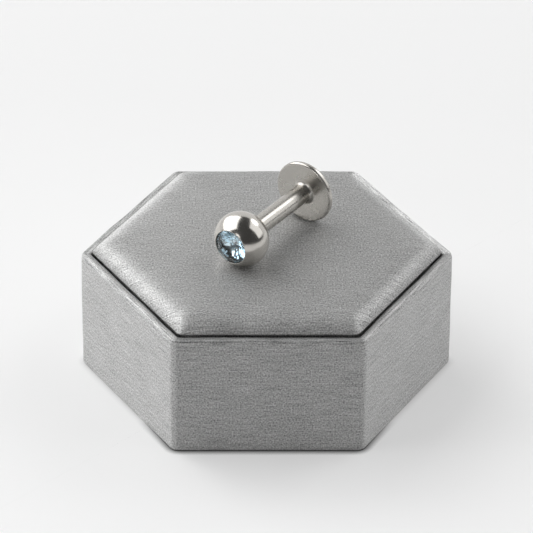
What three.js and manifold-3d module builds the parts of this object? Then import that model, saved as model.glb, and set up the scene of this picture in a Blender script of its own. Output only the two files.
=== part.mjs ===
// A labret stud lying on its display block, in millimetres, +Z up.
// The stud is a turned post with a flat round disc at one end and a gem ball screwed on the other.
// The block is a fabric-covered hexagonal box with a padded panel let into its top.
// The origin is the centre of the block's underside, and the block's front face looks along -Y.
import * as THREE from 'three';
import { mergeVertices } from 'three/addons/utils/BufferGeometryUtils.js';
import Module from 'manifold-3d';

// ---------------------------------------------------------------- driving dimensions

// Display block
const BLOCK_ACROSS_CORNERS = 31;
const RIM_TOP = 10.95; // height of the rim that runs round the padded panel
const BLOCK_CORNER_ROUND = 0.7; // radius of the six upright edges
const RIM_WIDTH = 0.57; // from the outer faces to the groove round the panel
const RIM_CREST = 0.3; // from the outer faces to the rim's highest line
const RIM_OUTER_DROP = 0.74; // height of the rim's outer rounding
const RIM_INNER_DROP = 0.45; // height of the rim's inner rounding
const FOOT_ROUND = 0.25; // rounding round the underside
const RECESS_FLOOR = 8.6; // height of the floor that the panel lies on

// Padded panel
const GROOVE = 0.11; // gap between the rim and the panel
const PAD_FLOOR_GAP = 0.06;
const PAD_CORNER_ROUND = 0.5; // radius of the panel's corners at the groove
const PAD_CORNER_SPREAD = 0.6; // how much rounder the corners get for each millimetre inwards
const SHOULDER_WIDTH = 1.86; // the rounded edge of the panel, an elliptical quarter
const SHOULDER_RISE = 1.156;
const SHOULDER_START = RIM_TOP - 0.546; // height where the panel's wall turns into its shoulder
const CROWN_RISE = 0.7; // how much the padding swells above its shoulder in the middle
const CROWN_POWER = 2.5;

// Stud, along its own axis: 0 at the ball's centre, + towards the crystal
const BALL_RADIUS = 2.36; // across the axis
const BALL_HALF_LENGTH = 2.06; // along the axis: the ball is a little flattened
const BALL_REAR_FLAT = 0.95; // radius of the flat that meets the post
const BEZEL_LIP = 1.585; // the lip burnished round the crystal
const BEZEL_INNER = 1.47;
const BEZEL_OUTER = 1.54;
const BLIND_HOLE_END = -0.55;
const POST_RADIUS = 0.8;
const PIN_RADIUS = 0.6; // the end of the post that goes into the ball
const DISC_FACE = 8.7; // from the ball's centre to the face of the disc
const DISC_RADIUS = 2.7;
const DISC_THICKNESS = 0.55;
const DISC_EDGE = 0.18; // rounding of the disc's front edge
const DISC_BACK_EDGE = 0.24;
const DISC_FILLET = 0.36; // where the post runs into the disc
const FIT = 0.03; // clearance between the post, the ball and the crystal

// Crystal, a round brilliant cut
const CRYSTAL_RADIUS = BEZEL_INNER - FIT;
const GIRDLE_TOP = 1.5;
const GIRDLE_BOTTOM = 1.42;
const CROWN_HEIGHT = 0.34;
const PAVILION_DEPTH = 1.2;
const TABLE_SHARE = 0.6; // the table's radius over the crystal's
const STAR_SHARE = 0.82; // radius of the points between table and girdle
const PAVILION_SHARE = 0.28; // radius of the points between girdle and culet
const CROWN_MAINS = 8;
const CRYSTAL_TURN = 8; // degrees that the cut is turned about the stud's axis

// Where the stud lies on the panel
const BALL_X = -2.13;
const BALL_Y = -3.98;
const BALL_SINK = 0.02; // how far the ball presses into the padding
const STUD_HEADING = 36.25; // degrees from +Y towards +X, from the ball to the disc
const STUD_RISE = 1.2; // degrees that the axis rises towards the disc
const SEAT_GAP = 0.05; // clearance of the dents that ball and disc lie in

// Fineness of the faceted surfaces
const HEX_ARC_STEPS = 4;
const EDGE_STEPS = 4;
const SHOULDER_STEPS = 6;
const CROWN_INSETS = [2.6, 4.2, 6.4, 9.0]; // rings of the crown, millimetres in from the panel's wall
const TURNED_SIDES = 48;
const BALL_STEPS = 9;

const apothem = (BLOCK_ACROSS_CORNERS / 2) * Math.cos(Math.PI / 6);
const padInset = RIM_WIDTH + GROOVE;
const radians = THREE.MathUtils.degToRad;

// ---------------------------------------------------------------- rounded hexagonal bodies

// The outline of a hexagon with rounded corners: its first corner points along +X.
function hexagonOutline(halfWidth, cornerRadius) {
  const points = [];
  const centreDistance = (halfWidth - cornerRadius) / Math.cos(Math.PI / 6);
  for (let corner = 0; corner < 6; corner += 1) {
    const facing = (corner * Math.PI) / 3;
    for (let step = 0; step <= HEX_ARC_STEPS; step += 1) {
      const turn = facing + (step / HEX_ARC_STEPS - 0.5) * (Math.PI / 3);
      const x = centreDistance * Math.cos(facing) + cornerRadius * Math.cos(turn);
      const y = centreDistance * Math.sin(facing) + cornerRadius * Math.sin(turn);
      points.push([x, y]);
    }
  }
  return points;
}

// A closed body from rings stacked from its underside to its top, each { inset, z, round }.
// bottomZ and topZ are the heights of the middle of the underside and of the top.
function hexagonBody(rings, bottomZ, topZ) {
  const vertices = [0, 0, bottomZ];
  const faces = [];
  let count = 0;
  for (const { inset, z, round } of rings) {
    const outline = hexagonOutline(apothem - inset, round);
    count = outline.length;
    for (const [x, y] of outline) vertices.push(x, y, z);
  }
  vertices.push(0, 0, topZ);
  const top = vertices.length / 3 - 1;
  const at = (ring, i) => 1 + ring * count + (i % count);
  for (let i = 0; i < count; i += 1) {
    faces.push(0, at(0, i + 1), at(0, i));
    for (let ring = 0; ring + 1 < rings.length; ring += 1) {
      faces.push(at(ring, i), at(ring, i + 1), at(ring + 1, i + 1));
      faces.push(at(ring, i), at(ring + 1, i + 1), at(ring + 1, i));
    }
    faces.push(at(rings.length - 1, i), at(rings.length - 1, i + 1), top);
  }
  return meshGeometry(vertices, faces);
}

function meshGeometry(vertices, faces) {
  const geometry = new THREE.BufferGeometry();
  geometry.setAttribute('position', new THREE.Float32BufferAttribute(vertices, 3));
  geometry.setIndex(faces);
  return geometry;
}

// ---------------------------------------------------------------- display block

function blockGeometry() {
  const rings = [];
  const add = (inset, z) => rings.push({ inset, z, round: Math.max(BLOCK_CORNER_ROUND - inset, 0.12) });
  for (let i = 0; i <= EDGE_STEPS; i += 1) {
    const a = (i / EDGE_STEPS) * (Math.PI / 2);
    add(FOOT_ROUND * (1 - Math.sin(a)), FOOT_ROUND * (1 - Math.cos(a)));
  }
  for (let i = 0; i <= EDGE_STEPS; i += 1) {
    const a = (i / EDGE_STEPS) * (Math.PI / 2);
    add(RIM_CREST * (1 - Math.cos(a)), RIM_TOP - RIM_OUTER_DROP * (1 - Math.sin(a)));
  }
  for (let i = 1; i <= EDGE_STEPS; i += 1) {
    const a = (i / EDGE_STEPS) * (Math.PI / 2);
    const inset = RIM_CREST + (RIM_WIDTH - RIM_CREST) * Math.sin(a);
    add(inset, RIM_TOP - RIM_INNER_DROP * (1 - Math.cos(a)));
  }
  add(RIM_WIDTH, RECESS_FLOOR);
  return hexagonBody(rings, 0, RECESS_FLOOR);
}

// ---------------------------------------------------------------- padded panel

// Height of the panel's top at a distance in from its wall: a shoulder plus a soft crown.
function panelHeight(inward) {
  const across = Math.max(1 - inward / SHOULDER_WIDTH, 0);
  const shoulder = SHOULDER_RISE * Math.sqrt(1 - across * across);
  const toMiddle = 1 - inward / (apothem - padInset);
  return SHOULDER_START + shoulder + CROWN_RISE * (1 - toMiddle ** CROWN_POWER);
}

// Height of the panel's top under a point of the plan.
function panelHeightAt(x, y) {
  let reach = 0;
  for (let face = 0; face < 6; face += 1) {
    const facing = radians(60 * face + 30);
    reach = Math.max(reach, x * Math.cos(facing) + y * Math.sin(facing));
  }
  return panelHeight(apothem - reach - padInset);
}

function panelGeometry() {
  const underside = RECESS_FLOOR + PAD_FLOOR_GAP;
  const rings = [{ inset: padInset, z: underside, round: PAD_CORNER_ROUND }];
  const add = (inward) => rings.push({
    inset: padInset + inward,
    z: panelHeight(inward),
    round: PAD_CORNER_ROUND + PAD_CORNER_SPREAD * inward,
  });
  for (let i = 0; i <= SHOULDER_STEPS; i += 1) {
    add(SHOULDER_WIDTH * (1 - Math.cos((i / SHOULDER_STEPS) * (Math.PI / 2))));
  }
  for (const inward of CROWN_INSETS) add(inward);
  return hexagonBody(rings, underside, panelHeight(apothem - padInset));
}

// ---------------------------------------------------------------- stud

// A turned piece whose profile of [radius, height] runs from its bottom to its top on the axis.
function turned(profile) {
  const points = profile.map(([radius, height]) => new THREE.Vector2(radius, height));
  return new THREE.LatheGeometry(points, TURNED_SIDES).rotateX(Math.PI / 2);
}

// Points of a quarter ellipse from angle from to angle to, in degrees.
function arc(centreRadius, centreHeight, width, height, from, to, steps) {
  const points = [];
  for (let i = 0; i <= steps; i += 1) {
    const a = radians(from + ((to - from) * i) / steps);
    points.push([centreRadius + width * Math.cos(a), centreHeight + height * Math.sin(a)]);
  }
  return points;
}

// Half the ball's length where it has a given radius.
function ballHeight(radius) {
  return BALL_HALF_LENGTH * Math.sqrt(1 - (radius / BALL_RADIUS) ** 2);
}

function postAndDiscGeometry() {
  const back = -DISC_FACE - DISC_THICKNESS;
  const shoulder = -ballHeight(BALL_REAR_FLAT) - FIT;
  const fillet = POST_RADIUS + DISC_FILLET;
  return turned([
    [0, back],
    ...arc(DISC_RADIUS - DISC_BACK_EDGE, back + DISC_BACK_EDGE, DISC_BACK_EDGE, DISC_BACK_EDGE, -90, 0, 3),
    ...arc(DISC_RADIUS - DISC_EDGE, -DISC_FACE - DISC_EDGE, DISC_EDGE, DISC_EDGE, 0, 90, 3),
    ...arc(fillet, -DISC_FACE + DISC_FILLET, DISC_FILLET, DISC_FILLET, 270, 180, 4),
    [POST_RADIUS, shoulder],
    [PIN_RADIUS, shoulder],
    [PIN_RADIUS, BLIND_HOLE_END - FIT],
    [0, BLIND_HOLE_END - FIT],
  ]);
}

function gemBallGeometry() {
  const rearAngle = -THREE.MathUtils.radToDeg(Math.acos(BALL_REAR_FLAT / BALL_RADIUS));
  const frontAngle = THREE.MathUtils.radToDeg(Math.acos(BEZEL_OUTER / BALL_RADIUS));
  return turned([
    [0, BLIND_HOLE_END],
    [PIN_RADIUS + FIT, BLIND_HOLE_END],
    [PIN_RADIUS + FIT, -ballHeight(BALL_REAR_FLAT)],
    ...arc(0, 0, BALL_RADIUS, BALL_HALF_LENGTH, rearAngle, 0, BALL_STEPS),
    ...arc(0, 0, BALL_RADIUS, BALL_HALF_LENGTH, 0, frontAngle, BALL_STEPS).slice(1),
    [BEZEL_OUTER, BEZEL_LIP],
    [BEZEL_INNER, BEZEL_LIP],
    [BEZEL_INNER, GIRDLE_BOTTOM - FIT],
    [0, GIRDLE_BOTTOM - PAVILION_DEPTH - 2 * FIT],
  ]);
}

// A round brilliant: the kite facets of crown and pavilion are flat because the points between
// them are worked out on the plane through table or culet and girdle.
function crystalGeometry() {
  const vertices = [];
  const faces = [];
  const half = Math.PI / CROWN_MAINS;
  const add = (share, angle, height) => {
    const radius = share * CRYSTAL_RADIUS;
    vertices.push(radius * Math.cos(angle), radius * Math.sin(angle), height);
    return vertices.length / 3 - 1;
  };
  const starRise = (CROWN_HEIGHT * (1 - STAR_SHARE * Math.cos(half))) / (1 - TABLE_SHARE);
  const pavilionDrop = PAVILION_DEPTH * (1 - PAVILION_SHARE * Math.cos(half));
  const table = [];
  const star = [];
  const girdleTop = [];
  const girdleBottom = [];
  const pavilion = [];
  for (let k = 0; k < CROWN_MAINS; k += 1) {
    const main = 2 * k * half;
    table.push(add(TABLE_SHARE, main, GIRDLE_TOP + CROWN_HEIGHT));
    star.push(add(STAR_SHARE, main + half, GIRDLE_TOP + starRise));
    girdleTop.push(add(1, main, GIRDLE_TOP), add(1, main + half, GIRDLE_TOP));
    girdleBottom.push(add(1, main, GIRDLE_BOTTOM), add(1, main + half, GIRDLE_BOTTOM));
    pavilion.push(add(PAVILION_SHARE, main + half, GIRDLE_BOTTOM - pavilionDrop));
  }
  const tableCentre = add(0, 0, GIRDLE_TOP + CROWN_HEIGHT);
  const culet = add(0, 0, GIRDLE_BOTTOM - PAVILION_DEPTH);
  for (let k = 0; k < CROWN_MAINS; k += 1) {
    const next = (k + 1) % CROWN_MAINS;
    const before = (k + CROWN_MAINS - 1) % CROWN_MAINS;
    const [main, middle, after] = [2 * k, 2 * k + 1, 2 * next];
    faces.push(tableCentre, table[k], table[next]);
    faces.push(table[k], star[k], table[next]);
    faces.push(table[k], star[before], girdleTop[main], table[k], girdleTop[main], star[k]);
    faces.push(star[k], girdleTop[main], girdleTop[middle]);
    faces.push(star[k], girdleTop[middle], girdleTop[after]);
    for (const [a, b] of [[main, middle], [middle, after]]) {
      faces.push(girdleTop[a], girdleBottom[a], girdleBottom[b]);
      faces.push(girdleTop[a], girdleBottom[b], girdleTop[b]);
      faces.push(girdleBottom[a], pavilion[k], girdleBottom[b]);
    }
    faces.push(culet, girdleBottom[main], pavilion[before], culet, pavilion[k], girdleBottom[main]);
  }
  return meshGeometry(vertices, faces).rotateZ(radians(CRYSTAL_TURN));
}

// ---------------------------------------------------------------- dents that the stud lies in

const wasm = await Module();
wasm.setup();

function solidOf(geometry) {
  const bare = geometry.clone();
  bare.deleteAttribute('normal');
  bare.deleteAttribute('uv');
  const merged = mergeVertices(bare, 1e-5);
  const vertProperties = new Float32Array(merged.attributes.position.array);
  const triVerts = new Uint32Array(merged.index.array);
  return new wasm.Manifold(new wasm.Mesh({ numProp: 3, vertProperties, triVerts }));
}

function geometryOf(solid) {
  const { vertProperties, triVerts } = solid.getMesh();
  return meshGeometry(Array.from(vertProperties), Array.from(triVerts));
}

// ---------------------------------------------------------------- the scene graph

const fabric = new THREE.MeshStandardMaterial({ color: 0x9c9c9b, roughness: 0.55, metalness: 0 });
const steel = new THREE.MeshStandardMaterial({ color: 0xc9c6c0, roughness: 0.15, metalness: 1 });
const paleBlueGlass = new THREE.MeshStandardMaterial({ color: 0xa9c9df, roughness: 0.05, metalness: 0 });

function named(name, geometry, material) {
  const mesh = new THREE.Mesh(geometry, material);
  mesh.name = name;
  return mesh;
}

const stud = new THREE.Group();
stud.add(named('post_and_disc', postAndDiscGeometry(), steel.clone()));
stud.add(named('gem_ball', gemBallGeometry(), steel.clone()));
stud.add(named('crystal', crystalGeometry(), paleBlueGlass));

const heading = radians(STUD_HEADING);
const rise = radians(STUD_RISE);
const towardsCrystal = new THREE.Vector3(
  -Math.sin(heading) * Math.cos(rise),
  -Math.cos(heading) * Math.cos(rise),
  -Math.sin(rise),
);
stud.quaternion.setFromUnitVectors(new THREE.Vector3(0, 0, 1), towardsCrystal);
stud.position.set(BALL_X, BALL_Y, panelHeightAt(BALL_X, BALL_Y) + BALL_RADIUS - BALL_SINK);
stud.updateMatrixWorld(true);

const ballDent = new THREE.SphereGeometry(BALL_RADIUS + SEAT_GAP, TURNED_SIDES, TURNED_SIDES / 2);
ballDent.translate(stud.position.x, stud.position.y, stud.position.z);
const discDent = new THREE.CylinderGeometry(
  DISC_RADIUS + SEAT_GAP,
  DISC_RADIUS + SEAT_GAP,
  DISC_THICKNESS + 2 * SEAT_GAP,
  TURNED_SIDES,
);
discDent.rotateX(Math.PI / 2).translate(0, 0, -DISC_FACE - DISC_THICKNESS / 2);
discDent.applyMatrix4(stud.matrixWorld);
const panel = solidOf(panelGeometry()).subtract(solidOf(ballDent)).subtract(solidOf(discDent));

const block = new THREE.Group();
block.add(named('block_body', blockGeometry(), fabric.clone()));
block.add(named('top_pad', geometryOf(panel), fabric.clone()));

const object = new THREE.Group();
object.add(block, stud);

export default object;
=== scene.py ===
"""A labret stud lying on its padded display block: cloth, padding, polished steel and a set crystal.

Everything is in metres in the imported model's frame: +Z is up and the block's front face looks along -Y.
Sizes are written in millimetres times MM, and each piece's section holds its own sizes and finish.
"""
import math

import bpy
import numpy as np
from mathutils import Matrix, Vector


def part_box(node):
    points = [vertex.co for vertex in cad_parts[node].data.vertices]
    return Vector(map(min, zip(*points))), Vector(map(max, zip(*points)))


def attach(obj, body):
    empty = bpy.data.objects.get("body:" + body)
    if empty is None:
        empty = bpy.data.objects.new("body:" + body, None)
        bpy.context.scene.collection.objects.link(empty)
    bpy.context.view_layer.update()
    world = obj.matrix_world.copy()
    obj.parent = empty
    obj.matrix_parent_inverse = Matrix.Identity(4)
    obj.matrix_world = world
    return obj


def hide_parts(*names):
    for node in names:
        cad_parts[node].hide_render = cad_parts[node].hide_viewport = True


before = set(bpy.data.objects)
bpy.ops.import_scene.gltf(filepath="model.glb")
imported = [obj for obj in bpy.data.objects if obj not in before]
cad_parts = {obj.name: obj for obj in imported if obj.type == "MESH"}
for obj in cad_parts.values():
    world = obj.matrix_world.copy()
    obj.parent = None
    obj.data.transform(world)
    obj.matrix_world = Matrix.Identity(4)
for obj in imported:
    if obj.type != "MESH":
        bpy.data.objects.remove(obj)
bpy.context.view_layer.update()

MM = 0.001

# ---- Camera ------------------------------------------------------------------------------------
# A long lens from the front, looking down at the block by a third of a right angle, as a table-top
# product shot is taken. It leans by half a degree.
CAMERA_PLACE = (-4.395 * MM, -312.623 * MM, 204.916 * MM)
CAMERA_LENS = 300
CAMERA_DOWN = 32.02
CAMERA_TURN = 0.80
CAMERA_LEAN = 0.46

camera = bpy.data.objects.new("camera", bpy.data.cameras.new("camera"))
camera.data.lens = CAMERA_LENS
camera.data.clip_start = 5 * MM
camera.matrix_world = (
    Matrix.Translation(CAMERA_PLACE)
    @ Matrix.Rotation(math.radians(-CAMERA_TURN), 4, "Z")
    @ Matrix.Rotation(math.radians(90 - CAMERA_DOWN), 4, "X")
    @ Matrix.Rotation(math.radians(CAMERA_LEAN), 4, "Z")
)
bpy.context.scene.collection.objects.link(camera)
bpy.context.scene.camera = camera
bpy.context.scene.view_settings.view_transform = "Standard"

# ---- Block -------------------------------------------------------------------------------------
# A stiff hexagonal board box wrapped in silver-grey satin cloth. The cloth's threads run round the
# walls; it turns over the rim in a soft roll, goes down beside the padded panel and under the foot.
block_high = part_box("block_body")[1]
APOTHEM = block_high.y
RIM_SINK = 0.28 * MM
RIM_TOP = block_high.z - RIM_SINK
BLOCK_CORNER = 0.8 * MM
INNER_CORNER = 0.2 * MM
RIM_WIDTH = 0.8 * MM
RIM_ROLL = 0.16 * MM
RIM_OUTER_DROP = 0.5 * MM
RIM_LIP = 0.2 * MM
RIM_DIP = 0.02 * MM
# Painted shade on the rim, where the pad's roll shades it: it starts this far in from the walls and darkens
# the cloth by up to this share at the groove.
PAINTED_SHADE_START = 0.15 * MM
PAINTED_SHADE_STRENGTH = 0.75
FOLD_BUILDS = 0.2 * MM
FOOT_ROUND = 0.25 * MM
RECESS_FLOOR = 8.6 * MM
WALL_STEPS = 24
BLOCK_SIDE_STEPS = 84
CORNER_CROWDING = 0.8
WALL_SWELL = 0.02 * MM
RIM_SWELL = 0.012 * MM
SWELL_SETTLES = 2 * MM
RIM_SWELL_DEPTH = 1.2 * MM
RIM_SWELL_FADE = 0.6 * MM
WALL_WAVES = 6 * MM
RIM_WAVES = 4 * MM
FOLD_OPENS = 1.3
SATIN_METALLIC = 0.35
SATIN_ROUGHNESS = 0.42
WEAVE_HEIGHT = 0.03 * MM


def turns_round(steps):
    """One turn round a hexagon, 0 to 6, a whole number at each corner. Points crowd at the corners:
    within a side, share s of the steps lies at s - crowding * sin(2 pi s) / (2 pi) of its length."""
    share = np.arange(6 * steps) / steps
    return share - CORNER_CROWDING * np.sin(2 * math.pi * share) / (2 * math.pi)


def hexagon_rings(half_width, corner, turns):
    """Rounded hexagons, one row for each half width: the way round is split evenly between half an
    arc, a straight side and half an arc. Gives x, y and the direction that each point faces."""
    half_width = np.reshape(half_width, (-1, 1))
    corner = np.reshape(corner, (-1, 1))
    side = (half_width - corner) / math.cos(math.pi / 6)
    half_arc = corner * math.pi / 6
    whole = np.floor(turns)[None, :]
    along = (turns[None, :] - whole) * (side + 2 * half_arc)
    radius = np.maximum(corner, 1e-9)
    first = np.minimum(along, half_arc) / radius
    last = np.maximum(along - half_arc - side, 0) / radius
    facing = whole * math.pi / 3 + first + last
    straight = np.clip(along - half_arc, 0, side)
    start = whole * math.pi / 3
    x = side * np.cos(start) - straight * np.sin(start + math.pi / 6) + radius * np.cos(facing)
    y = side * np.sin(start) + straight * np.cos(start + math.pi / 6) + radius * np.sin(facing)
    return x, y, facing


def quarter(steps):
    """Angles from 0 to a right angle in even steps."""
    return np.linspace(0, math.pi / 2, steps + 1)


def soft_waves(x, y, z, length, seed):
    """A smooth uneven field between about -1 and 1: twelve sine waves of random direction and phase
    whose wavelengths lie around the given length."""
    draw = np.random.default_rng(seed)
    field = np.zeros(np.broadcast(x, y, z).shape)
    for _ in range(12):
        way = draw.normal(size=3)
        way *= 2 * math.pi / (np.linalg.norm(way) * length * draw.uniform(0.7, 1.6))
        field += np.sin(way[0] * x + way[1] * y + way[2] * z + draw.uniform(0, 2 * math.pi))
    return field / math.sqrt(12)


def put_mesh(name, points, faces, cloth=None, fold=None, painted_shade=None):
    """A named object from an array of points and a list of faces. cloth gives each face corner its
    place on the flat cloth, in millimetres, as the UV map that the weave follows. fold gives each
    point how sharply the cloth is bent there, and the last argument how much painted shade darkens
    the cloth there, from 0 to 1."""
    mesh = bpy.data.meshes.new(name)
    mesh.from_pydata(points.tolist(), [], faces)
    mesh.shade_smooth()
    if cloth is not None:
        mesh.uv_layers.new(name="cloth").data.foreach_set("uv", cloth.ravel())
        mesh.attributes.new("fold", "FLOAT", "POINT").data.foreach_set("value", fold)
        mesh.attributes.new("painted_shade", "FLOAT", "POINT").data.foreach_set("value", painted_shade)
    piece = bpy.data.objects.new(name, mesh)
    bpy.context.scene.collection.objects.link(piece)
    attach(piece, "root")
    return piece


def block_profile():
    """The section from the foot over the roll, the rim and its inner lip to the recess floor: inset
    from the walls, height, distance along and how sharply the cloth is folded there, 0 to 1."""
    foot, roll, lip = quarter(5), quarter(12), quarter(6)
    wall = np.linspace(FOOT_ROUND, RIM_TOP - RIM_OUTER_DROP, WALL_STEPS + 1)[1:-1]
    flat = np.linspace(RIM_ROLL, RIM_WIDTH - RIM_LIP, 6)[1:-1]
    recess = np.linspace(RIM_TOP - RIM_DIP - RIM_LIP, RECESS_FLOOR, 6)[1:]
    dip = RIM_DIP * ((flat - RIM_ROLL) / (RIM_WIDTH - RIM_LIP - RIM_ROLL)) ** 2
    inset = np.concatenate([
        FOOT_ROUND * (1 - np.sin(foot)), 0 * wall, RIM_ROLL * (1 - np.cos(roll)), flat,
        RIM_WIDTH - RIM_LIP * (1 - np.sin(lip)), 0 * recess + RIM_WIDTH,
    ])
    height = np.concatenate([
        FOOT_ROUND * (1 - np.cos(foot)), wall, RIM_TOP - RIM_OUTER_DROP * (1 - np.sin(roll)),
        RIM_TOP - dip, RIM_TOP - RIM_DIP - RIM_LIP * (1 - np.cos(lip)), recess,
    ])
    steps = np.hypot(np.diff(inset), np.diff(height))
    fold = np.clip((height - RIM_TOP + RIM_OUTER_DROP) / FOLD_BUILDS, 0, 1)
    return inset, height, np.concatenate([[0], np.cumsum(steps)]), fold


def build_block():
    """Rings of the profile round the hexagon. The cloth swells and dips by hundredths of a
    millimetre, more along the rim than on the walls, and the rings close at a pole each end.
    Painted shade, standing for the shade of the pad's roll, grows evenly over the rim towards the
    groove, most where the rim faces the front."""
    inset, height, run, fold = block_profile()
    corner = np.maximum(BLOCK_CORNER - inset, INNER_CORNER)
    turns = turns_round(BLOCK_SIDE_STEPS)
    x, y, facing = hexagon_rings(APOTHEM - inset, corner, turns)
    z = np.repeat(height[:, None], turns.size, axis=1)
    at_rim = np.clip((height - RIM_TOP + RIM_SWELL_DEPTH) / RIM_SWELL_FADE, 0, 1)[:, None]
    clear_of_foot = np.clip(height / SWELL_SETTLES, 0, 1)[:, None]
    swell = (WALL_SWELL + RIM_SWELL * at_rim) * clear_of_foot * soft_waves(x, y, z * 1.5, WALL_WAVES, 3)
    x, y = x + swell * np.cos(facing), y + swell * np.sin(facing)
    z = z + RIM_SWELL * at_rim * soft_waves(x, y, 0 * z, RIM_WAVES, 4)
    rings, around = x.shape
    points = np.stack([x, y, z], axis=-1).reshape(-1, 3)
    points = np.vstack([points, [0, 0, 0], [0, 0, RECESS_FLOOR]])
    ring, col = np.meshgrid(np.arange(rings - 1), np.arange(around), indexing="ij")
    after = (col + 1) % around
    quads = np.stack([ring * around + col, ring * around + after,
                      (ring + 1) * around + after, (ring + 1) * around + col], axis=-1)
    round_run = np.append(turns, 6) * APOTHEM * 2 / math.sqrt(3)
    u = np.stack([round_run[col], round_run[col + 1], round_run[col + 1], round_run[col]], axis=-1)
    v = np.stack([run[ring], run[ring], run[ring + 1], run[ring + 1]], axis=-1)
    first, then = np.arange(around), (np.arange(around) + 1) % around
    low_pole, high_pole, top = rings * around, rings * around + 1, (rings - 1) * around
    foot = np.stack([then, first, 0 * first + low_pole], axis=-1)
    recess = np.stack([top + first, top + then, 0 * first + high_pole], axis=-1)
    cloth = np.concatenate([np.stack([u, v], axis=-1).reshape(-1, 2) / MM,
                            points[foot.ravel(), :2] / MM, points[recess.ravel(), :2] / MM])
    faces = quads.reshape(-1, 4).tolist() + foot.tolist() + recess.tolist()
    fold = np.append(np.repeat(fold, around), [0, 0])
    on_rim = height > RIM_TOP - RIM_OUTER_DROP
    # Painted shade: the rim is darkened towards the groove, most on the sides that face the front.
    painted_shade = on_rim * np.clip((inset - PAINTED_SHADE_START) / (RIM_WIDTH - PAINTED_SHADE_START), 0, 1)
    shaded = 0.5 - 0.5 * np.clip(2 * np.sin(facing), -1, 1)
    painted_shade = np.append((painted_shade[:, None] * shaded).ravel(), [0, 1])
    return put_mesh("wrapped_block", points, faces, cloth, fold, painted_shade)


def put_node(tree, kind, links=None, **values):
    """A shader node with its named inputs set to a value or linked to another node's output."""
    node = tree.nodes.new(kind)
    for name, value in values.items():
        setattr(node, name, value)
    for name, value in (links or {}).items():
        if isinstance(value, bpy.types.NodeSocket):
            tree.links.new(value, node.inputs[name])
        else:
            node.inputs[name].default_value = value
    return node


def satin_cloth_group():
    """Satin cloth: slubs drawn out along the threads, which open into lines where the cloth is folded,
    a fine grain of thread crossings and slow shading, all darkened by the painted shade given as an
    input.
    Gives the shade as a factor around 1 and the height of the weave from 0 to 1."""
    group = bpy.data.node_groups.new("satin_cloth", "ShaderNodeTree")
    face = group.interface
    face.new_socket("Cloth Place", in_out="INPUT", socket_type="NodeSocketVector")
    for name, value in (("Fold", 0.0), ("Painted Shade", 0.0), ("Slubs", 0.1), ("Grain", 0.1), ("Shading", 0.05)):
        face.new_socket(name, in_out="INPUT", socket_type="NodeSocketFloat").default_value = value
    face.new_socket("Shade", in_out="OUTPUT", socket_type="NodeSocketFloat")
    face.new_socket("Height", in_out="OUTPUT", socket_type="NodeSocketFloat")
    given = group.nodes.new("NodeGroupInput").outputs
    result = group.nodes.new("NodeGroupOutput").inputs

    def noise(stretch, detail):
        """Noise in cloth millimetres, stretched by cycles per millimetre along and across."""
        scaled = put_node(group, "ShaderNodeVectorMath", {0: given["Cloth Place"], 1: stretch},
                          operation="MULTIPLY")
        grain = put_node(group, "ShaderNodeTexNoise",
                         {"Vector": scaled.outputs[0], "Scale": 1.0, "Detail": detail})
        return put_node(group, "ShaderNodeMath", {0: grain.outputs[0], 1: 0.5},
                        operation="SUBTRACT").outputs[0]

    def weigh(value, amount, onto):
        """The value times an amount, added onto a third value."""
        return put_node(group, "ShaderNodeMath", {0: value, 1: amount, 2: onto},
                        operation="MULTIPLY_ADD").outputs[0]

    slubs = noise((0.45, 8.0, 1.0), 2.0)
    crossings = noise((7.5, 7.0, 1.0), 1.0)
    slow = noise((0.3, 0.5, 1.0), 2.0)
    opened = weigh(given["Fold"], FOLD_OPENS, 1.0)
    slubs = weigh(slubs, opened, 0.0)
    shade = weigh(slubs, given["Slubs"], 1.0)
    shade = weigh(crossings, given["Grain"], shade)
    shade = weigh(slow, given["Shading"], shade)
    # Painted shade darkens the cloth's tone in proportion to its input.
    painted_shade_factor = weigh(given["Painted Shade"], -PAINTED_SHADE_STRENGTH, 1.0)
    shade = weigh(shade, painted_shade_factor, 0.0)
    height = weigh(slubs, 0.9, weigh(crossings, 0.6, 0.5))
    group.links.new(shade, result["Shade"])
    group.links.new(height, result["Height"])
    return group


satin_cloth = satin_cloth_group()


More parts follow.
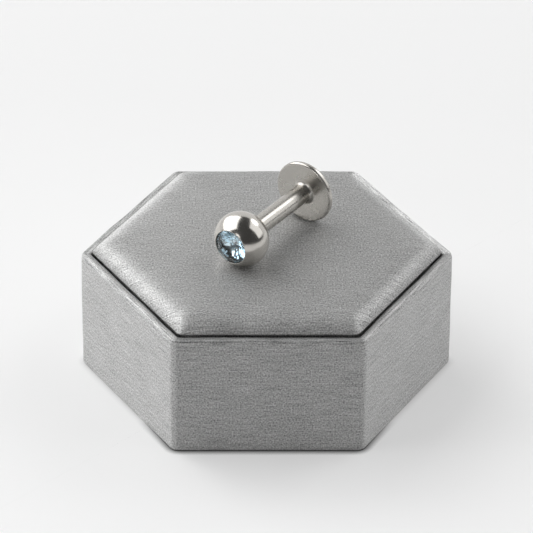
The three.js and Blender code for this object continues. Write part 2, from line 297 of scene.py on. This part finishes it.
def satin_material(name, tone, slubs, grain, shading):
    """Silver-grey satin: the group's shade times the cloth's tone. The threads lie along the cloth's
    first direction, so the gloss is narrow along them and broad across them."""
    material = bpy.data.materials.new(name)
    material.use_nodes = True
    tree = material.node_tree
    shader = tree.nodes["Principled BSDF"]
    place = put_node(tree, "ShaderNodeUVMap", uv_map="cloth")
    cloth = put_node(tree, "ShaderNodeGroup", node_tree=satin_cloth)
    tree.links.new(place.outputs["UV"], cloth.inputs["Cloth Place"])
    fold = put_node(tree, "ShaderNodeAttribute", attribute_name="fold")
    tree.links.new(fold.outputs["Fac"], cloth.inputs["Fold"])
    for socket, value in (("Slubs", slubs), ("Grain", grain), ("Shading", shading)):
        cloth.inputs[socket].default_value = value
    # The painted shade on the block's rim comes in as a point attribute.
    painted_shade = put_node(tree, "ShaderNodeAttribute", attribute_name="painted_shade")
    tree.links.new(painted_shade.outputs["Fac"], cloth.inputs["Painted Shade"])
    shade = put_node(tree, "ShaderNodeVectorMath", {0: tone, 1: cloth.outputs["Shade"]},
                     operation="MULTIPLY")
    bump = put_node(tree, "ShaderNodeBump",
                    {"Height": cloth.outputs["Height"], "Strength": 1.0, "Distance": WEAVE_HEIGHT})
    tree.links.new(shade.outputs[0], shader.inputs["Base Color"])
    tree.links.new(bump.outputs["Normal"], shader.inputs["Normal"])
    threads = put_node(tree, "ShaderNodeTangent", direction_type="UV_MAP", uv_map="cloth")
    tree.links.new(threads.outputs["Tangent"], shader.inputs["Tangent"])
    shader.inputs["Metallic"].default_value = SATIN_METALLIC
    shader.inputs["Roughness"].default_value = SATIN_ROUGHNESS
    shader.inputs["Anisotropic"].default_value = 1.0
    shader.inputs["Anisotropic Rotation"].default_value = 0.25
    shader.inputs["Specular IOR Level"].default_value = 1.0
    return material


block = build_block()
block.data.materials.append(
    satin_material("block_satin", tone=(0.423, 0.423, 0.42), slubs=0.95, grain=2.1, shading=0.2))
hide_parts("block_body")

# ---- Padded panel ------------------------------------------------------------------------------
# A hexagonal board with a pad of wadding, under the same satin cloth drawn tight and glued below.
# The cloth rolls over the panel's edge in a round shoulder, and the padding swells it in the middle.
PANEL_FLOOR = 8.66 * MM
PAD_CORNER = 0.6 * MM
PAD_CORNER_SPREAD = 0.5
SHOULDER_WIDTH = 2.6 * MM
SHOULDER_RISE = 1.26 * MM
SHOULDER_START = 10.32 * MM
SHOULDER_POWER = 2.8
CROWN_RISE = 0.69 * MM
CROWN_POWER = 3.5
CROWN_SWELLS = 0.2 * MM
ROLL_HEIGHT = 10.86 * MM
ROLL_RADIUS = 0.12 * MM
UNDERCUT = 0.6 * MM
DISC_FACE = 8.7 * MM
DISC_THICKNESS = 0.55 * MM
DISC_TROUGH = 0.2 * MM
TROUGH_HALF_LENGTH = 0.9 * MM
TROUGH_SIDES = 0.3 * MM
BALL_HOLLOW = 0.03 * MM
HOLLOW_RADIUS = 0.6 * MM
GLUED_EDGE = 3.0 * MM
PRESSURE = 0.6
COVER_SCALE = 40
COVER_FRAMES = 20
SWELLING_LIMIT = 1.0 * MM
SWELLING_FADE = 0.5 * MM
CARRY_SPREAD = 0.3
PANEL_GROOVE = 0.67 * MM
PAD_REACH = APOTHEM - PANEL_GROOVE
CROWN_RINGS = 84
SHOULDER_STEPS = 20
ROUGH_CROWN_RINGS = 36
ROUGH_SHOULDER_STEPS = 8
ROLL_STEPS = 8
UNDER_STEPS = 8


def panel_height(inward):
    """Height of the panel's top at a distance in from its reach: a shoulder, the root of 1 less a power
    of the share of its width that is left, and a crown, 1 less a power of the way to the middle."""
    across = np.maximum(1 - inward / SHOULDER_WIDTH, 0)
    to_middle = np.clip(1 - inward / PAD_REACH, 0, 1)
    shoulder = SHOULDER_RISE * np.sqrt(1 - across ** SHOULDER_POWER)
    return SHOULDER_START + shoulder + (CROWN_RISE - CROWN_SWELLS) * (1 - to_middle ** CROWN_POWER)


def panel_faces(crown_rings, shoulder_steps):
    """Triangles of a lattice whose ring k has 6 k points, then quads between the rings of equal
    count that follow, then a fan that closes the underside."""
    faces = []
    for k in range(1, crown_rings + 1):
        outer, inner = 1 + 3 * k * (k - 1), 1 + 3 * (k - 1) * (k - 2) if k > 1 else 0
        side, step = np.meshgrid(np.arange(6), np.arange(k), indexing="ij")
        far = outer + side * k + step
        far_next = outer + (side * k + step + 1) % (6 * k)
        near = inner + (side * (k - 1) + step) % max(6 * (k - 1), 1)
        near_next = inner + (side * (k - 1) + step + 1) % max(6 * (k - 1), 1)
        faces += np.stack([far, far_next, near], axis=-1).reshape(-1, 3).tolist()
        inside = step < k - 1
        faces += np.stack([near[inside], far_next[inside], near_next[inside]], axis=-1).tolist()
    count = 6 * crown_rings
    start = 1 + 3 * crown_rings * (crown_rings - 1)
    col = np.arange(count)
    after = (col + 1) % count
    rings = shoulder_steps + ROLL_STEPS + UNDER_STEPS
    for ring in range(rings):
        near, far = start + ring * count, start + (ring + 1) * count
        faces += np.stack([far + col, far + after, near + after, near + col], axis=-1).tolist()
    last = start + rings * count
    faces += np.stack([last + after, last + col, 0 * col + last + count], axis=-1).tolist()
    return faces


def shoulder_section(steps):
    """From the crown's edge down the shoulder, round the roll that closes it and back under the
    overhang, then down the board's wall: distance in from the panel's reach, and height."""
    lowest = math.asin((ROLL_HEIGHT - SHOULDER_START) / SHOULDER_RISE)
    angle = np.linspace(math.pi / 2, lowest, steps + 1)[1:]
    inward = SHOULDER_WIDTH * (1 - np.cos(angle) ** (2 / SHOULDER_POWER))
    height = panel_height(inward)
    facing = math.atan2(inward[-2] - inward[-1], height[-2] - height[-1])
    turn = np.linspace(facing, -math.pi / 2, ROLL_STEPS + 1)[1:]
    roll_in = inward[-1] + ROLL_RADIUS * math.cos(facing)
    roll_up = height[-1] - ROLL_RADIUS * math.sin(facing)
    under = np.linspace(0, 1, UNDER_STEPS // 2 + 1)[1:]
    below_roll = roll_up - ROLL_RADIUS
    board_top = below_roll + 0.1 * UNDERCUT
    section_in = [inward, roll_in - ROLL_RADIUS * np.cos(turn), roll_in + UNDERCUT * under,
                  roll_in + UNDERCUT + 0 * under]
    section_up = [height, roll_up + ROLL_RADIUS * np.sin(turn), below_roll + 0.1 * UNDERCUT * under,
                  board_top - (board_top - PANEL_FLOOR) * under]
    return np.concatenate(section_in), np.concatenate(section_up)


def panel_points(crown_rings, shoulder_steps):
    """The panel before it swells, each point's place on the flat cloth and how sharply the cloth is
    folded there. The flat cloth's rings are wider than the panel's by the length of the section."""
    shoulder_reach = PAD_REACH - SHOULDER_WIDTH
    points, cloth = [np.array([[0, 0, panel_height(PAD_REACH)]])], [np.zeros((1, 2))]
    fold = [np.zeros(1)]
    for k in range(1, crown_rings + 1):
        reach = shoulder_reach * k / crown_rings
        corner = min(PAD_CORNER + PAD_CORNER_SPREAD * (PAD_REACH - reach), reach)
        x, y, _ = hexagon_rings(reach, corner, turns_round(k))
        points.append(np.column_stack([x[0], y[0], 0 * x[0] + panel_height(PAD_REACH - reach)]))
        cloth.append(points[-1][:, :2])
        fold.append(np.zeros(6 * k))
    inward, height = shoulder_section(shoulder_steps)
    corner = PAD_CORNER + PAD_CORNER_SPREAD * inward
    x, y, _ = hexagon_rings(PAD_REACH - inward, corner, turns_round(crown_rings))
    run_in = np.append(SHOULDER_WIDTH, inward)
    run_down = np.append(panel_height(SHOULDER_WIDTH), height)
    run = np.cumsum(np.hypot(np.diff(run_in), np.diff(run_down)))
    flat = hexagon_rings(shoulder_reach + run, corner + run, turns_round(crown_rings))
    points.append(np.stack([x, y, np.repeat(height[:, None], x.shape[1], 1)], -1).reshape(-1, 3))
    cloth.append(np.stack(flat[:2], axis=-1).reshape(-1, 2))
    fold.append(np.repeat(1 - inward / SHOULDER_WIDTH, x.shape[1]))
    points.append(np.array([[0, 0, PANEL_FLOOR]]))
    cloth.append(np.zeros((1, 2)))
    fold.append(np.zeros(1))
    return np.vstack(points), np.vstack(cloth) / MM, np.concatenate(fold)


def cover_swelling(points, faces):
    """Cloth simulation of the cover: the wadding presses it outwards from inside while its wall and
    underside stay glued. Gives how far each point moves. It runs at many times the size, where the
    solver is steady."""
    mesh = bpy.data.meshes.new("cover")
    mesh.from_pydata((points * COVER_SCALE).tolist(), [], faces)
    cover = bpy.data.objects.new("cover", mesh)
    bpy.context.scene.collection.objects.link(cover)
    inward = PAD_REACH - np.max([points[:, 0] * math.cos(a) + points[:, 1] * math.sin(a)
                                 for a in np.radians(range(30, 390, 60))], axis=0)
    held = np.round(np.clip(1 - inward / GLUED_EDGE, 0, 1), 2)
    held[points[:, 2] < ROLL_HEIGHT] = 1
    glued = cover.vertex_groups.new(name="glued")
    for weight in np.unique(held):
        glued.add(np.flatnonzero(held == weight).tolist(), float(weight), "REPLACE")
    cloth = cover.modifiers.new("cover", "CLOTH")
    cloth.settings.vertex_group_mass = "glued"
    cloth.settings.use_pressure = True
    cloth.settings.uniform_pressure_force = PRESSURE
    cloth.settings.effector_weights.gravity = 0
    cloth.settings.quality = 5
    cloth.settings.tension_stiffness = 15
    cloth.settings.compression_stiffness = 15
    cloth.settings.shear_stiffness = 8
    cloth.settings.bending_stiffness = 5
    cloth.collision_settings.use_collision = False
    cloth.point_cache.frame_end = COVER_FRAMES
    scene = bpy.context.scene
    for step in range(1, COVER_FRAMES + 1):
        scene.frame_set(step)
    evaluated = cover.evaluated_get(bpy.context.evaluated_depsgraph_get())
    swollen = np.empty(points.size, np.float32)
    evaluated.data.vertices.foreach_get("co", swollen)
    scene.frame_set(1)
    bpy.data.objects.remove(cover)
    moved = swollen.reshape(-1, 3) / COVER_SCALE - points
    length = np.linalg.norm(moved, axis=1, keepdims=True)
    return moved * np.minimum(1, SWELLING_LIMIT / np.maximum(length, 1e-9))


def carry_over(moved, from_places, to_places, spread):
    """Carries a movement from one set of places on the flat cloth to another: each new place takes
    the mean of those near it, weighed by a bell curve of the given spread."""
    carried = np.empty((len(to_places), 3))
    for start in range(0, len(to_places), 2000):
        some = slice(start, start + 2000)
        apart = ((to_places[some, None] - from_places[None]) ** 2).sum(axis=-1)
        weight = np.exp(-apart / (2 * spread ** 2))
        carried[some] = weight @ moved / weight.sum(axis=1, keepdims=True)
    return carried


def node_points(name):
    """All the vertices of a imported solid."""
    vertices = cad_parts[name].data.vertices
    places = np.empty(len(vertices) * 3)
    vertices.foreach_get("co", places)
    return places.reshape(-1, 3)


# The stud's axis runs from the middle of the post's solid to the middle of the crystal's, and the
# ball's centre lies on it, the post's whole length from the back of the disc.
post_points = node_points("post_and_disc")
stud_axis = node_points("crystal").mean(axis=0) - post_points.mean(axis=0)
stud_axis /= np.linalg.norm(stud_axis)
back_of_disc = ((post_points - post_points.mean(axis=0)) @ stud_axis).min()
ball_centre = post_points.mean(axis=0) + (back_of_disc + DISC_FACE + DISC_THICKNESS) * stud_axis
across_stud = np.cross(stud_axis, (0, 0, 1))
across_stud /= np.linalg.norm(across_stud)
up_stud = np.cross(stud_axis, across_stud)


def pressed_in(points):
    """How deep the stud presses the cover: a trough under the disc's edge and a slight hollow under
    the ball, each with the soft sides of a bell curve."""
    level = stud_axis[:2] / np.linalg.norm(stud_axis[:2])
    side = np.array([-level[1], level[0]])
    disc = (ball_centre - (DISC_FACE + DISC_THICKNESS / 2) * stud_axis)[:2]
    out = points[:, :2] - disc
    past_edge = np.maximum(np.abs(out @ level) - DISC_THICKNESS / 2, 0)
    trough = DISC_TROUGH * np.exp(-(out @ side / TROUGH_HALF_LENGTH) ** 2 - (past_edge / TROUGH_SIDES) ** 2)
    away = np.linalg.norm(points[:, :2] - ball_centre[:2], axis=1)
    return trough + BALL_HOLLOW * np.exp(-(away / HOLLOW_RADIUS) ** 2)


# The crown starts lower by CROWN_SWELLS, and the simulated movement is scaled to raise it by just
# that at its middle.
pad_points, pad_cloth, pad_fold = panel_points(CROWN_RINGS, SHOULDER_STEPS)
pad_faces = panel_faces(CROWN_RINGS, SHOULDER_STEPS)
rough_points, rough_cloth, _ = panel_points(ROUGH_CROWN_RINGS, ROUGH_SHOULDER_STEPS)
swelling = cover_swelling(rough_points, panel_faces(ROUGH_CROWN_RINGS, ROUGH_SHOULDER_STEPS))
on_top = rough_points[:, 2] > ROLL_HEIGHT
swelling = carry_over(swelling[on_top], rough_cloth[on_top], pad_cloth, CARRY_SPREAD)
swelling *= np.clip((pad_points[:, 2:] - ROLL_HEIGHT) / SWELLING_FADE, 0, 1)
swelling *= CROWN_SWELLS / swelling[0, 2]
pad_points = pad_points + swelling
on_top = pad_points[:, 2] > ROLL_HEIGHT
pad_points[on_top, 2] -= pressed_in(pad_points[on_top])
corners = np.concatenate([np.ravel(face) for face in pad_faces])
# The pad's cloth gets no painted shade.
pad = put_mesh("padded_panel", pad_points, pad_faces, pad_cloth[corners], pad_fold,
               0 * pad_fold)
# Painted light: the pad's copy of the same satin is painted lighter than the block's, standing in for the
# light on its top.
pad.data.materials.append(
    satin_material("pad_satin", tone=(0.46, 0.46, 0.456), slubs=0.6, grain=2.15, shading=0.2))
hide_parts("top_pad")

# ---- Post and disc -----------------------------------------------------------------------------
# Surgical steel, turned in one piece: a straight post with a flat round disc at one end, whose face
# keeps a fine satin and whose rim is polished, and a thin pin at the other end for the ball.
POST_RADIUS = 0.8 * MM
PIN_RADIUS = 0.6 * MM
DISC_RADIUS = 2.7 * MM
DISC_EDGE = 0.18 * MM
DISC_BACK_EDGE = 0.24 * MM
DISC_FILLET = 0.36 * MM
BALL_RADIUS = 2.36 * MM
BALL_HALF_LENGTH = 2.06 * MM
BALL_REAR_FLAT = 0.95 * MM
BLIND_HOLE_END = -0.55 * MM
FIT = 0.03 * MM
TURNED_SIDES = 144
SHARP_EDGE = math.radians(35)


def arc(centre_radius, centre_length, width, length, start, end, steps):
    """Radii and lengths of an arc of an ellipse between two angles in degrees."""
    angle = np.radians(np.linspace(start, end, steps + 1))
    return np.column_stack([centre_radius + width * np.cos(angle),
                            centre_length + length * np.sin(angle)])


def ball_length(radius):
    """Half the ball's length where it has a given radius."""
    return BALL_HALF_LENGTH * math.sqrt(1 - (radius / BALL_RADIUS) ** 2)


def turned_piece(name, profile):
    """A profile of radius and length, from one end on the axis to the other, turned round the stud's
    axis. Edges sharper than SHARP_EDGE stay crisp."""
    sides = TURNED_SIDES
    radius, length = profile[1:-1].T
    turn = np.arange(sides) * 2 * math.pi / sides
    ring = np.cos(turn)[:, None] * across_stud + np.sin(turn)[:, None] * up_stud
    points = ball_centre + length[:, None, None] * stud_axis + radius[:, None, None] * ring[None]
    ends = ball_centre + profile[[0, -1], 1][:, None] * stud_axis
    points = np.vstack([points.reshape(-1, 3), ends])
    step, col = np.meshgrid(np.arange(len(radius) - 1), np.arange(sides), indexing="ij")
    after = (col + 1) % sides
    quads = np.stack([step * sides + col, step * sides + after,
                      (step + 1) * sides + after, (step + 1) * sides + col], axis=-1).reshape(-1, 4)
    first, then, last = np.arange(sides), (np.arange(sides) + 1) % sides, (len(radius) - 1) * sides
    low_end, high_end = len(points) - 2, len(points) - 1
    low = np.stack([then, first, 0 * first + low_end], axis=-1)
    high = np.stack([last + first, last + then, 0 * first + high_end], axis=-1)
    piece = put_mesh(name, points, quads.tolist() + low.tolist() + high.tolist())
    piece.data.set_sharp_from_angle(angle=SHARP_EDGE)
    return piece


def post_profile():
    """Disc back, back edge, front edge, face, fillet, post, shoulder and pin."""
    back = -DISC_FACE - DISC_THICKNESS
    shoulder = -ball_length(BALL_REAR_FLAT) - FIT
    fillet = POST_RADIUS + DISC_FILLET
    face = np.linspace(DISC_RADIUS - DISC_EDGE, fillet, 8)[1:-1]
    post = np.linspace(-DISC_FACE + DISC_FILLET, shoulder, 16)[1:-1]
    return np.vstack([
        [0, back], [DISC_RADIUS * 0.5, back],
        arc(DISC_RADIUS - DISC_BACK_EDGE, back + DISC_BACK_EDGE,
            DISC_BACK_EDGE, DISC_BACK_EDGE, -90, 0, 10),
        arc(DISC_RADIUS - DISC_EDGE, -DISC_FACE - DISC_EDGE, DISC_EDGE, DISC_EDGE, 0, 90, 10),
        np.column_stack([face, 0 * face - DISC_FACE]),
        arc(fillet, -DISC_FACE + DISC_FILLET, DISC_FILLET, DISC_FILLET, 270, 180, 12),
        np.column_stack([0 * post + POST_RADIUS, post]),
        [POST_RADIUS, shoulder], [PIN_RADIUS, shoulder],
        [PIN_RADIUS, BLIND_HOLE_END - FIT], [0, BLIND_HOLE_END - FIT],
    ])


def steel_material(name, tone, roughness):
    """Polished surgical steel, slightly warm: its roughness varies softly over the surface."""
    material = bpy.data.materials.new(name)
    material.use_nodes = True
    tree = material.node_tree
    shader = tree.nodes["Principled BSDF"]
    place = put_node(tree, "ShaderNodeTexCoord")
    cloudy = put_node(tree, "ShaderNodeTexNoise",
                      {"Vector": place.outputs["Object"], "Scale": 900.0, "Detail": 3.0})
    dull = put_node(tree, "ShaderNodeMapRange",
                    {"Value": cloudy.outputs[0], "From Min": 0.3, "From Max": 0.7,
                     "To Min": roughness * 0.8, "To Max": roughness * 1.25})
    tree.links.new(dull.outputs[0], shader.inputs["Roughness"])
    shader.inputs["Base Color"].default_value = (*tone, 1)
    shader.inputs["Metallic"].default_value = 1.0
    return material


post = turned_piece("turned_post", post_profile())
post.data.materials.append(steel_material("polished_post", tone=(0.48, 0.463, 0.432), roughness=0.26))
post.data.materials.append(steel_material("satin_disc", tone=(0.57, 0.55, 0.515), roughness=0.25))

# The satin lies on the disc's flat face outside the fillet and on its whole flat back.
centres = np.empty(3 * len(post.data.polygons))
normals = np.empty(3 * len(post.data.polygons))
post.data.polygons.foreach_get("center", centres)
post.data.polygons.foreach_get("normal", normals)
out = centres.reshape(-1, 3) - ball_centre
along = out @ stud_axis
flat = np.abs(normals.reshape(-1, 3) @ stud_axis) > 0.98
from_axis = np.linalg.norm(out - along[:, None] * stud_axis, axis=1)
beyond_fillet = from_axis > POST_RADIUS + 0.8 * DISC_FILLET
disc_front = beyond_fillet & (along < -DISC_FACE + 0.2 * DISC_THICKNESS)
disc_back = along < -DISC_FACE - 0.9 * DISC_THICKNESS
satin = flat & (disc_front | disc_back)
post.data.polygons.foreach_set("material_index", satin.astype(np.int32))
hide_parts("post_and_disc")

# ---- Gem ball ----------------------------------------------------------------------------------
# A slightly flattened steel ball, drilled for the post behind and cut out for the crystal in front,
# with a thin lip of its own metal burnished over the crystal's edge. It is highly polished.
BEZEL_LIP = 1.585 * MM
BEZEL_INNER = 1.47 * MM
BEZEL_OUTER = 1.54 * MM
BEZEL_ROUND = 0.02 * MM
GIRDLE_BOTTOM = 1.42 * MM
PAVILION_DEPTH = 1.2 * MM


def ball_profile():
    """Blind hole, rear flat, the ball's two quarters, the lip and the seat of the crystal."""
    rear = -math.degrees(math.acos(BALL_REAR_FLAT / BALL_RADIUS))
    front = math.degrees(math.acos(BEZEL_OUTER / BALL_RADIUS))
    lip = arc((BEZEL_OUTER + BEZEL_INNER) / 2, BEZEL_LIP - BEZEL_ROUND,
              (BEZEL_OUTER - BEZEL_INNER) / 2, BEZEL_ROUND, 0, 180, 8)
    return np.vstack([
        [0, BLIND_HOLE_END], [PIN_RADIUS + FIT, BLIND_HOLE_END],
        [PIN_RADIUS + FIT, -ball_length(BALL_REAR_FLAT)],
        arc(0, 0, BALL_RADIUS, BALL_HALF_LENGTH, rear, 0, 40),
        arc(0, 0, BALL_RADIUS, BALL_HALF_LENGTH, 0, front, 36)[1:],
        lip,
        [BEZEL_INNER, GIRDLE_BOTTOM - FIT],
        [0, GIRDLE_BOTTOM - PAVILION_DEPTH - 2 * FIT],
    ])


ball = turned_piece("polished_ball", ball_profile())
ball.data.materials.append(steel_material("polished_ball", tone=(0.56, 0.54, 0.505), roughness=0.18))
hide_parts("gem_ball")

# ---- Crystal -----------------------------------------------------------------------------------
# A round brilliant of pale blue lead crystal, foiled behind: light goes in through table and crown,
# comes back from the silvered pavilion and leaves in sparks and dark facets.
CRYSTAL_RADIUS = BEZEL_INNER - FIT
GIRDLE_TOP = 1.5 * MM
CROWN_HEIGHT = 0.34 * MM
TABLE_SHARE = 0.6
STAR_SHARE = 0.82
PAVILION_SHARE = 0.28
CROWN_MAINS = 8
CRYSTAL_TURN = math.radians(8)


def build_crystal():
    """A brilliant's points on rings of radius share, turn and length. The stars and the pavilion's
    middle points lie on the planes through table or culet and girdle, so that every facet is flat."""
    half = math.pi / CROWN_MAINS
    mains = np.arange(CROWN_MAINS) * 2 * half
    star_rise = CROWN_HEIGHT * (1 - STAR_SHARE * math.cos(half)) / (1 - TABLE_SHARE)
    pavilion_drop = PAVILION_DEPTH * (1 - PAVILION_SHARE * math.cos(half))
    every = np.arange(2 * CROWN_MAINS) * half
    rings = [(TABLE_SHARE, mains, GIRDLE_TOP + CROWN_HEIGHT),
             (STAR_SHARE, mains + half, GIRDLE_TOP + star_rise),
             (1, every, GIRDLE_TOP), (1, every, GIRDLE_BOTTOM),
             (PAVILION_SHARE, mains + half, GIRDLE_BOTTOM - pavilion_drop)]
    points = []
    for share, turns, length in rings:
        turn = (turns + CRYSTAL_TURN)[:, None]
        outward = np.cos(turn) * across_stud + np.sin(turn) * up_stud
        points.append(ball_centre + length * stud_axis + share * CRYSTAL_RADIUS * outward)
    points = np.vstack(points + [ball_centre + (GIRDLE_BOTTOM - PAVILION_DEPTH) * stud_axis])
    table, star, over, under, low, culet = (CROWN_MAINS * rows for rows in (0, 1, 2, 4, 6, 7))
    crown, pavilion = [list(range(table, table + CROWN_MAINS))], []
    for k in range(CROWN_MAINS):
        after, before = (k + 1) % CROWN_MAINS, (k - 1) % CROWN_MAINS
        main, middle, following = 2 * k, 2 * k + 1, 2 * after
        crown.append([table + k, star + k, table + after])
        crown.append([table + k, star + before, over + main, star + k])
        crown.append([star + k, over + main, over + middle])
        crown.append([star + k, over + middle, over + following])
        for a, b in ((main, middle), (middle, following)):
            crown.append([over + a, under + a, under + b, over + b])
            pavilion.append([under + a, low + k, under + b])
        pavilion.append([culet, low + k, under + main, low + before])
    piece = put_mesh("set_crystal", points, crown + pavilion)
    piece.data.shade_flat()
    backed = np.arange(len(crown) + len(pavilion)) >= len(crown)
    piece.data.polygons.foreach_set("material_index", backed.astype(np.int32))
    return piece


def glass_material():
    """Clear pale blue crystal for table, crown and girdle."""
    material = bpy.data.materials.new("crystal_glass")
    material.use_nodes = True
    shader = material.node_tree.nodes["Principled BSDF"]
    shader.inputs["Base Color"].default_value = (0.93, 0.98, 1.0, 1)
    shader.inputs["Roughness"].default_value = 0.0
    shader.inputs["IOR"].default_value = 1.56
    shader.inputs["Transmission Weight"].default_value = 1.0
    return material


def foil_material():
    """The silvered back, tinted pale blue."""
    material = bpy.data.materials.new("crystal_foil")
    material.use_nodes = True
    shader = material.node_tree.nodes["Principled BSDF"]
    shader.inputs["Base Color"].default_value = (0.8, 0.93, 1.0, 1)
    shader.inputs["Roughness"].default_value = 0.08
    shader.inputs["Metallic"].default_value = 1.0
    return material


crystal = build_crystal()
crystal.data.materials.append(glass_material())
crystal.data.materials.append(foil_material())
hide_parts("crystal")

# ---- Studio ------------------------------------------------------------------------------------
# A white table that glows a little, which is painted light: the glow stands in for fill light that
# lifts the shadows, and the table is painted darker close to the block as contact shade and towards
# the back. A softbox tilted over each side, three round lamps and a white wall. It is dark overhead
# and on the photographer's side, which the steel shows as dark bands.
FLOOR_HALF = 4.0
# Painted light on the table: its tone darkens towards the back, it glows as painted fill light, and painted
# contact shade darkens both within GLOW_FADES of the block, more along the front.
TABLE_TONE_NEAR, TABLE_TONE_FAR = 0.52, 0.47
TABLE_FAR = 45 * MM
TABLE_GLOW = 0.365
GLOW_FADES = 0.6 * MM
FADE_AT_FRONT, FADE_BEHIND = 2.0, 0.3
FRONT_STARTS, FRONT_ENDS = -13 * MM, -9 * MM
SOFTBOX_AWAY = 0.8
SOFTBOX_FRAME = 0.06
PHOTOGRAPHER_SIDE = (0, -0.848, 0.530)
WALL_WHITE, STUDIO_DARK = 0.88, 0.065


def table_material():
    """White table top with a little light of its own, a painted glow that lifts the shadows as fill
    light would, and a tone painted darker towards the back. Tone and glow are both darkened close to
    the block by painted contact shade: ambient occlusion raised to a power that is larger along the
    front."""
    material = bpy.data.materials.new("table_white")
    material.use_nodes = True
    tree = material.node_tree
    shader = tree.nodes["Principled BSDF"]
    place = put_node(tree, "ShaderNodeTexCoord")
    depth = put_node(tree, "ShaderNodeSeparateXYZ", {0: place.outputs["Object"]})
    # Painted shade: the table's tone darkens towards the back.
    tone = put_node(tree, "ShaderNodeMapRange",
                    {"Value": depth.outputs["Y"], "From Min": 0.0, "From Max": TABLE_FAR,
                     "To Min": TABLE_TONE_NEAR, "To Max": TABLE_TONE_FAR})
    power = put_node(tree, "ShaderNodeMapRange",
                     {"Value": depth.outputs["Y"], "From Min": FRONT_STARTS, "From Max": FRONT_ENDS,
                      "To Min": FADE_AT_FRONT, "To Max": FADE_BEHIND})
    # Painted contact shade: ambient occlusion near the block darkens the table's tone and its glow.
    open_sky = put_node(tree, "ShaderNodeAmbientOcclusion", {"Distance": GLOW_FADES})
    painted_contact_shade = put_node(tree, "ShaderNodeMath", {0: open_sky.outputs["AO"], 1: power.outputs[0]},
                      operation="POWER")
    shaded = put_node(tree, "ShaderNodeMath", {0: painted_contact_shade.outputs[0], 1: tone.outputs[0]},
                      operation="MULTIPLY")
    glow = put_node(tree, "ShaderNodeMath", {0: painted_contact_shade.outputs[0], 1: TABLE_GLOW}, operation="MULTIPLY")
    tree.links.new(shaded.outputs[0], shader.inputs["Base Color"])
    tree.links.new(glow.outputs[0], shader.inputs["Emission Strength"])
    shader.inputs["Emission Color"].default_value = (1, 1, 1, 1)
    shader.inputs["Roughness"].default_value = 0.7
    shader.inputs["Specular IOR Level"].default_value = 0.2
    return material


floor_mesh = bpy.data.meshes.new("white_table")
floor_mesh.from_pydata([(-FLOOR_HALF, -FLOOR_HALF, 0), (FLOOR_HALF, -FLOOR_HALF, 0),
                        (FLOOR_HALF, FLOOR_HALF, 0), (-FLOOR_HALF, FLOOR_HALF, 0)], [], [(0, 1, 2, 3)])
floor = bpy.data.objects.new("white_table", floor_mesh)
bpy.context.scene.collection.objects.link(floor)
floor.data.materials.append(table_material())


def put_light(name, bearing, height, turn, size, glow, shape="RECTANGLE"):
    """A light that faces the block from a bearing (from +X towards +Y), a height and a turn about its
    own middle, all in degrees. Its size is in shares of SOFTBOX_AWAY and glow is its brightness."""
    lamp = bpy.data.lights.new(name, "AREA")
    lamp.shape = shape
    lamp.size, lamp.size_y = size[0] * SOFTBOX_AWAY, size[1] * SOFTBOX_AWAY
    filled = 1 if shape == "RECTANGLE" else math.pi / 4
    lamp.energy = glow * math.pi * lamp.size * lamp.size_y * filled
    light = bpy.data.objects.new(name, lamp)
    light.matrix_world = (
        Matrix.Rotation(math.radians(bearing + 90), 4, "Z")
        @ Matrix.Rotation(math.radians(90 - height), 4, "X")
        @ Matrix.Translation((0, 0, SOFTBOX_AWAY))
        @ Matrix.Rotation(math.radians(turn), 4, "Z")
    )
    bpy.context.scene.collection.objects.link(light)
    return light


def put_softbox(name, bearing, height, turn, size, glow):
    """A softbox with its black frame and back, which hide the white wall beyond it."""
    light = put_light(name, bearing, height, turn, size, glow)
    half = 0.5 * SOFTBOX_AWAY * (np.array(size) + 2 * SOFTBOX_FRAME)
    back = SOFTBOX_AWAY * 0.01
    mesh = bpy.data.meshes.new(name + "_back")
    mesh.from_pydata([(x * half[0], y * half[1], back) for x, y in ((-1, -1), (1, -1), (1, 1), (-1, 1))],
                     [], [(0, 1, 2, 3)])
    mesh.materials.append(softbox_black)
    cover = bpy.data.objects.new(name + "_back", mesh)
    cover.matrix_world = light.matrix_world
    cover.visible_camera = False
    bpy.context.scene.collection.objects.link(cover)


softbox_black = bpy.data.materials.new("softbox_black")
softbox_black.use_nodes = True
black_shader = softbox_black.node_tree.nodes["Principled BSDF"]
black_shader.inputs["Base Color"].default_value = (0.02, 0.02, 0.02, 1)
black_shader.inputs["Roughness"].default_value = 1.0

put_softbox("left_softbox", bearing=157.0, height=43.0, turn=-2.0, size=(1.35, 1.05), glow=2.5)
put_softbox("right_softbox", bearing=2.0, height=37.3, turn=-7.9, size=(0.80, 1.04), glow=1.26)
put_light("gem_card", bearing=234.0, height=22.0, turn=0.0, size=(0.42, 0.42), glow=2.7, shape="DISK")
put_light("left_lamp", bearing=137.0, height=39.0, turn=0.0, size=(0.5, 0.5), glow=3.3, shape="DISK")
put_light("right_lamp", bearing=38.0, height=39.5, turn=0.0, size=(0.45, 0.45), glow=2.6, shape="DISK")

studio = bpy.data.worlds.new("studio")
studio.use_nodes = True
air = studio.node_tree
looking = put_node(air, "ShaderNodeTexCoord")
toward = put_node(air, "ShaderNodeVectorMath", {0: looking.outputs["Generated"], 1: PHOTOGRAPHER_SIDE},
                  operation="DOT_PRODUCT")
wall = put_node(air, "ShaderNodeMapRange",
                {"Value": toward.outputs["Value"], "From Min": -0.18, "From Max": -0.11,
                 "To Min": WALL_WHITE, "To Max": STUDIO_DARK})
wall.interpolation_type = "SMOOTHSTEP"
air.links.new(wall.outputs[0], air.nodes["Background"].inputs["Color"])
bpy.context.scene.world = studio
